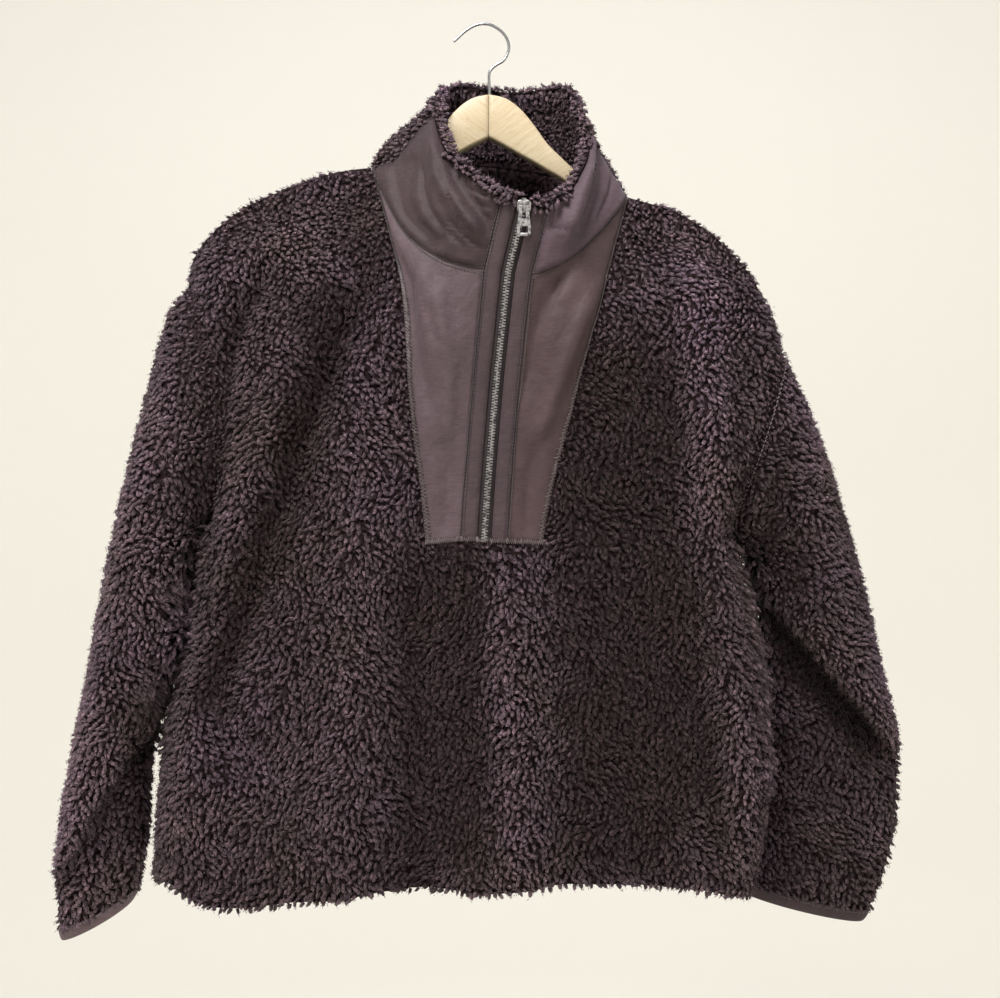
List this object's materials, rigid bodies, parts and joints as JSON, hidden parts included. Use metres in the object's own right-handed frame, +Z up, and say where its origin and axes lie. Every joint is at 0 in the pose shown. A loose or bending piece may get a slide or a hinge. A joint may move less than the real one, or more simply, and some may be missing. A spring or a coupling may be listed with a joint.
{
  "type": "fleece pullover on hanger",
  "caption": "Sherpa fleece pullover with a funnel collar and a half-zip placket, its sleeves hanging down, on a wooden clothes hanger with a wire hook.",
  "frame": {"origin": "inside top of the hanger's hook, where it rests on a rail or peg", "axes": "+Z up, +X to the viewer's right when the front is seen, -Y out of the garment's front"},
  "size_m": [0.688, 0.141, 0.7315],
  "materials": {
    "sherpa": "curly sherpa pile, dark plum brown",
    "woven": "smooth woven shell, mauve brown, slight sheen",
    "zip_tape": "dark woven tape with metal teeth",
    "zip_metal": "cast, satin nickel",
    "wood": "pale beech, clear satin varnish",
    "wire": "polished steel wire"
  },
  "bodies": {
    "garment": {"back_body": "sherpa", "collar_back": "sherpa", "collar_front_left": "woven", "collar_front_right": "woven", "collar_lining": "sherpa", "cuff_binding_left": "woven", "cuff_binding_right": "woven", "front_body": "sherpa", "hanger_hook": "wire", "hanger_left": "wood", "hanger_right": "wood", "placket_left": "woven", "placket_right": "woven", "sleeve_left": "sherpa", "sleeve_right": "sherpa", "zip_chain": "zip_tape", "zip_slider": "zip_metal", "zip_welt_left": "woven", "zip_welt_right": "woven"},
    "pull_tab": {"zip_pull": "zip_metal"}
  },
  "joints": [
    {"name": "pull_tab_hinge", "type": "hinge", "parent": "garment", "child": "pull_tab", "pos_m": [0.0267, -0.07718, -0.16221], "axis": [-1, 0, 0], "range_deg": [0, 120]}
  ]
}
